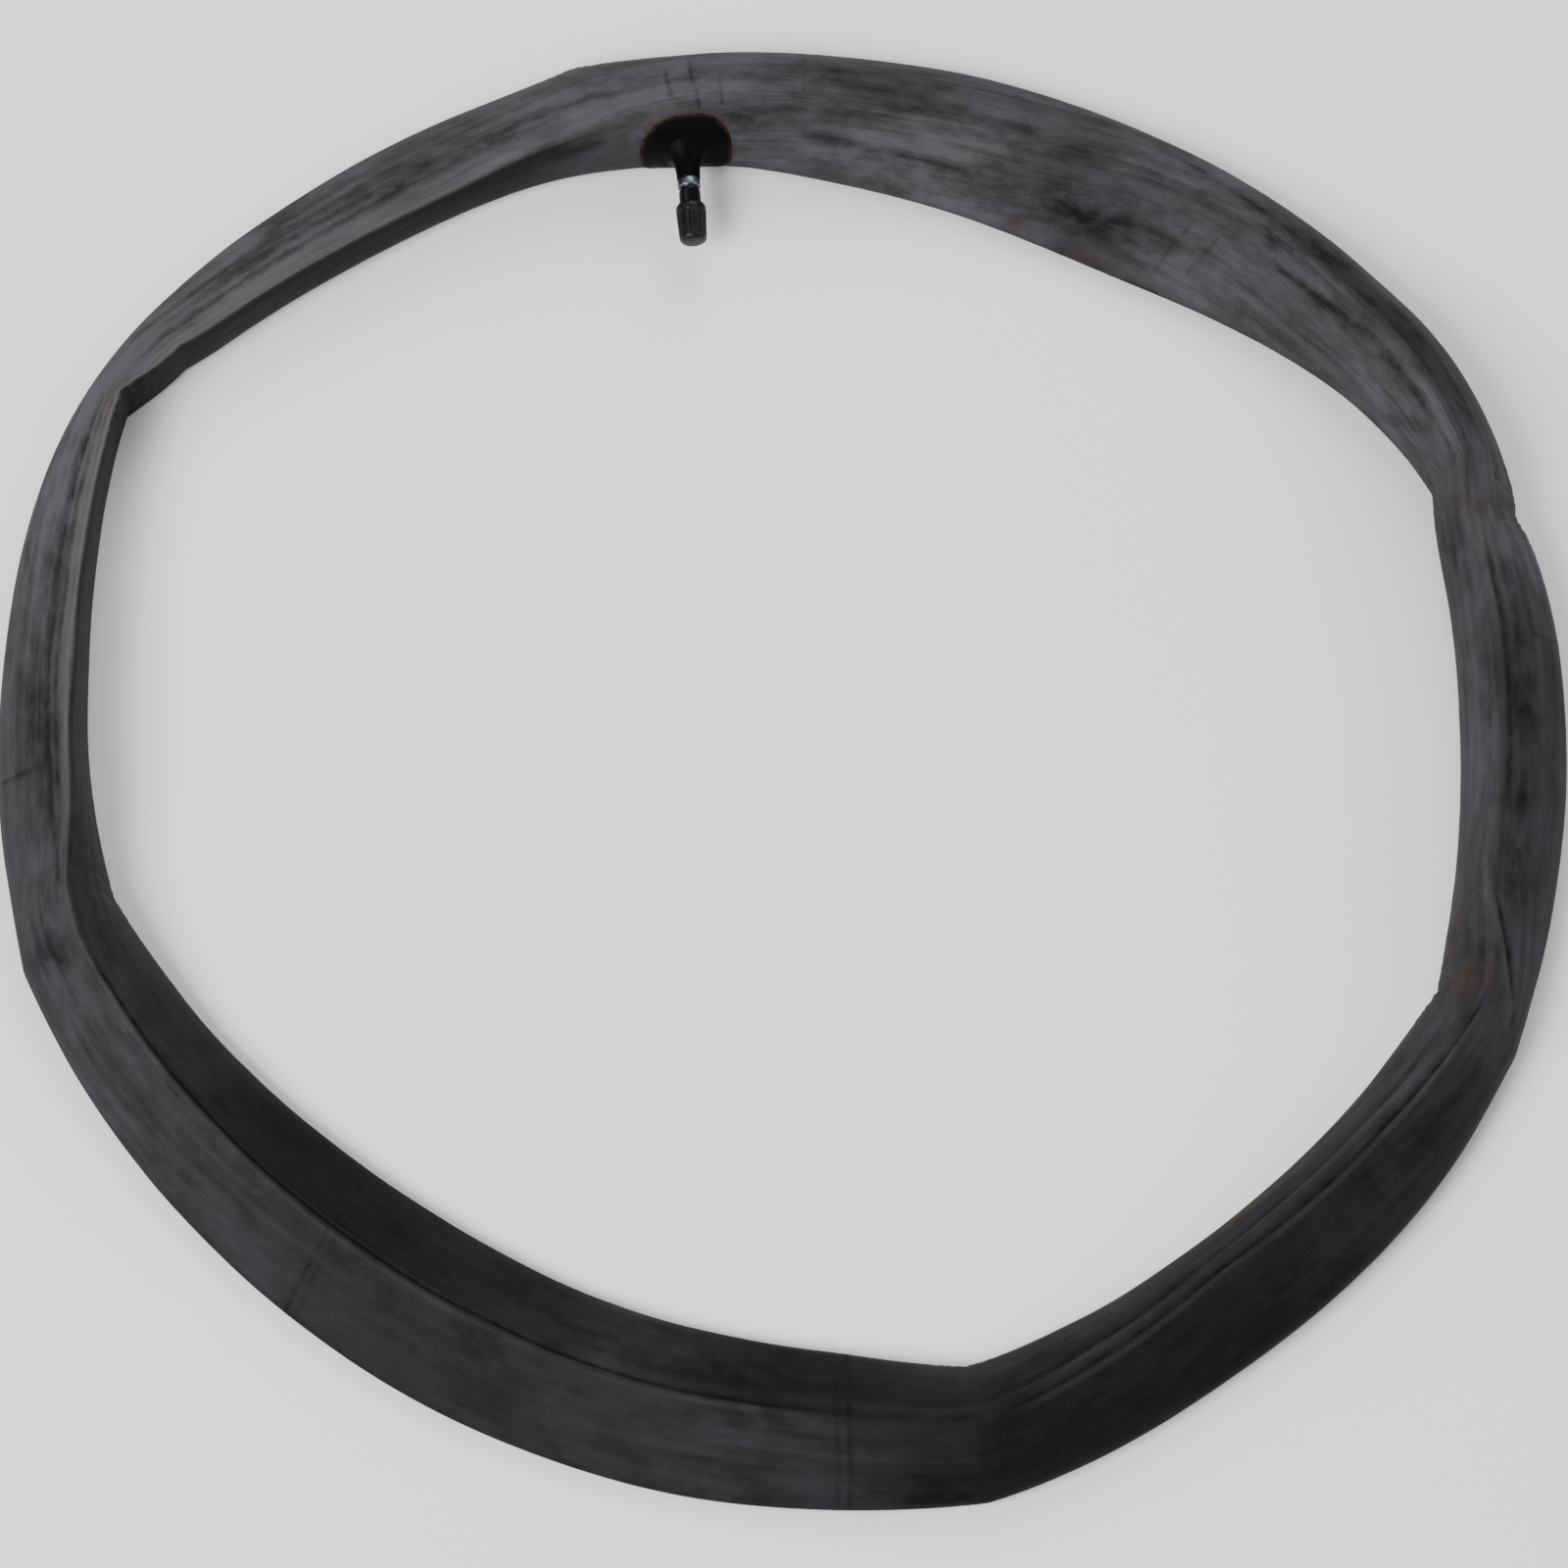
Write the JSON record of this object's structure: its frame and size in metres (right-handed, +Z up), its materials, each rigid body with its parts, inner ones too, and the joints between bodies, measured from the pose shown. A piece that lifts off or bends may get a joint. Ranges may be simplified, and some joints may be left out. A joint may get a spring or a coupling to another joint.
{
  "type": "bicycle inner tube",
  "caption": "Limp butyl inner tube for a bicycle wheel, lying as a loose loop, with a rubber-covered car-type valve, its core and a screw-on dust cap.",
  "frame": {"origin": "middle of the whole tube's plan, on the floor that the tube lies on", "axes": "+Z up from the floor; the valve lies at the +Y side and points along -Y, towards the middle of the loop; +X is to the right when looking along +Y"},
  "size_m": [0.543, 0.5399, 0.0387],
  "materials": {
    "tube_rubber": "satin black butyl with a grey bloom of talc",
    "valve_rubber": "smooth black moulded rubber",
    "plated_brass": "bright nickel plate on brass",
    "brass": "turned brass",
    "gasket": "moulded sealing ring",
    "spring_steel": "drawn wire",
    "seal_rubber": "matt black seal rubber",
    "cap_plastic": "satin black moulded plastic"
  },
  "bodies": {
    "tube": {"tube_body": "tube_rubber", "valve_base": "valve_rubber", "valve_stem": "plated_brass", "core_plug": "brass", "core_barrel": "brass", "core_gasket": "gasket", "core_spring": "spring_steel"},
    "pin": {"core_pin": "brass", "seat_cup": "brass", "seat_washer": "seal_rubber"},
    "cap_seat": {"cap_seal": "seal_rubber"},
    "cap": {"cap_shell": "cap_plastic"}
  },
  "joints": [
    {"name": "pin_press", "type": "slide", "parent": "tube", "child": "pin", "axis": [0, 1, 0], "range_m": [0, 0.0018], "stiffness_N_per_m": 1500, "springref_m": -0.002, "deforming": ["core_spring"]},
    {"name": "cap_lift", "type": "slide", "parent": "tube", "child": "cap_seat", "axis": [0, -1, 0], "range_m": [0, 0.026]},
    {"name": "cap_turn", "type": "hinge", "parent": "cap_seat", "child": "cap", "pos_m": [-0.0175, 0.2, 0.0155], "axis": [0, -1, 0], "range_deg": [0, 11800]}
  ],
  "couplings": [
    {"joint": "cap_turn", "follows": "cap_lift", "rad_per_m": 7915.8}
  ]
}
